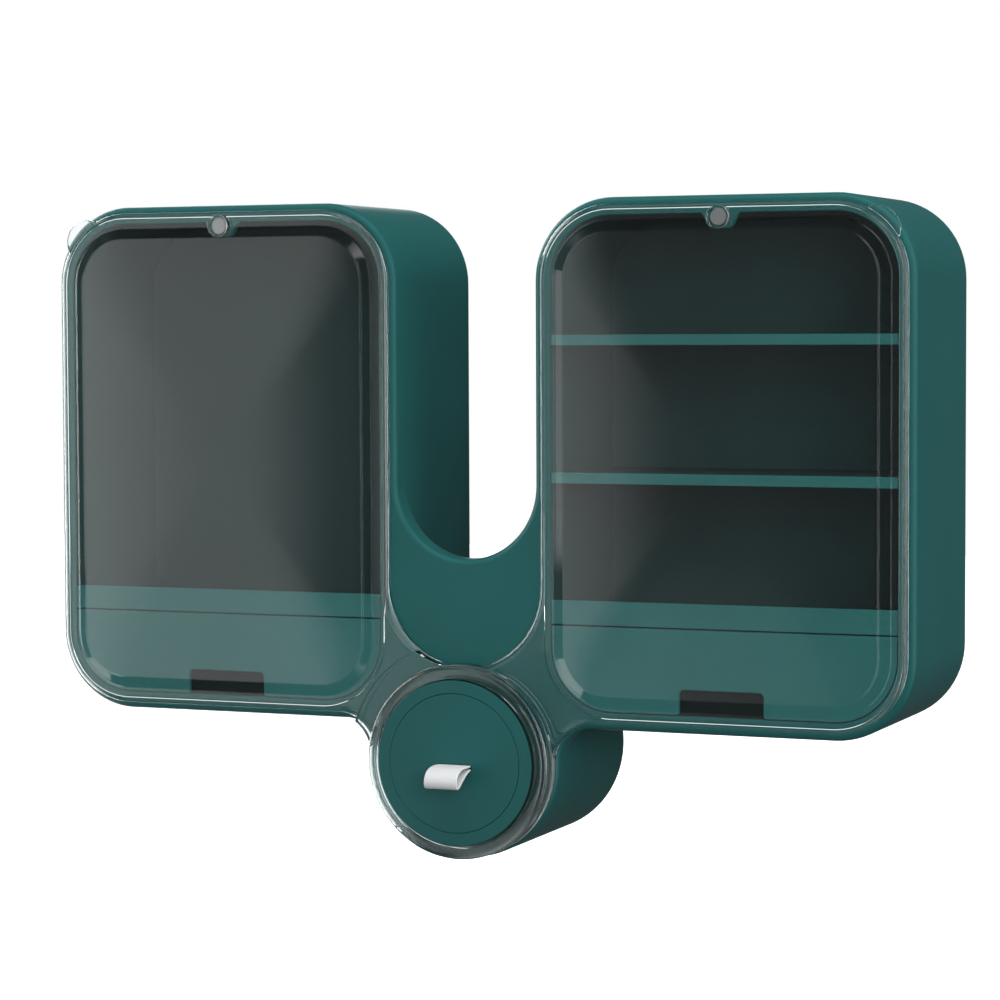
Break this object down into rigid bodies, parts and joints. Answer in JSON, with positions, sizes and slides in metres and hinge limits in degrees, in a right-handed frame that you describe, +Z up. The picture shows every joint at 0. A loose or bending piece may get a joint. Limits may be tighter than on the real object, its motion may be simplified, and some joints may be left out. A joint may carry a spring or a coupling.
{
  "type": "wall mounted storage organizer",
  "caption": "Wall mounted bathroom organizer: rounded boxes with clear doors that swing out about a shared round hub, inner shelves, and a round pull-out drawer.",
  "frame": {"origin": "on the axis of the round hub, in the plane of the wall that the part hangs on", "axes": "+X to the viewer's right along the part's width, +Y into the wall, +Z up"},
  "size_m": [0.45, 0.1243, 0.3201],
  "materials": {
    "green": "moulded dark green plastic, satin",
    "clear": "clear moulded plastic, polished",
    "charcoal": "moulded charcoal plastic, matt",
    "white": "white soft plastic strap and adhesive foam",
    "magnet": "nickel plated magnet",
    "steel": "plain steel screw and pin"
  },
  "bodies": {
    "housing": {"hub_frame": "green", "left_case": "green", "right_case": "green", "left_liner": "charcoal", "left_fascia": "green", "left_divider": "charcoal", "left_drawer_front": "green", "left_drawer_tray": "charcoal", "left_back_panel": "green", "left_wall_plate": "white", "left_catch_magnet": "magnet", "right_liner": "charcoal", "right_fascia": "green", "right_divider": "charcoal", "right_drawer_front": "green", "right_drawer_tray": "charcoal", "right_back_panel": "green", "right_wall_plate": "white", "right_catch_magnet": "magnet", "upper_shelf": "charcoal", "upper_shelf_trim": "green", "lower_shelf": "charcoal", "lower_shelf_trim": "green", "hub_journal": "green", "ring_spacer": "charcoal", "hub_back_cover": "green", "hub_screw_1": "steel", "hub_screw_2": "steel", "hub_screw_3": "steel"},
    "left_door": {"left_door": "clear", "left_door_magnet": "magnet"},
    "right_door": {"right_door": "clear", "right_door_magnet": "magnet"},
    "round_drawer": {"round_drawer_front": "green", "round_drawer_tray": "green", "pull_tab": "white", "tab_pin": "steel"}
  },
  "joints": [
    {"name": "left_door_hinge", "type": "hinge", "parent": "housing", "child": "left_door", "pos_m": [0, 0, 0], "axis": [0, -1, 0], "range_deg": [0, 90]},
    {"name": "right_door_hinge", "type": "hinge", "parent": "housing", "child": "right_door", "pos_m": [0, 0, 0], "axis": [0, 1, 0], "range_deg": [0, 90]},
    {"name": "round_drawer_slide", "type": "slide", "parent": "housing", "child": "round_drawer", "axis": [0, -1, 0], "range_m": [0, 0.07]}
  ]
}
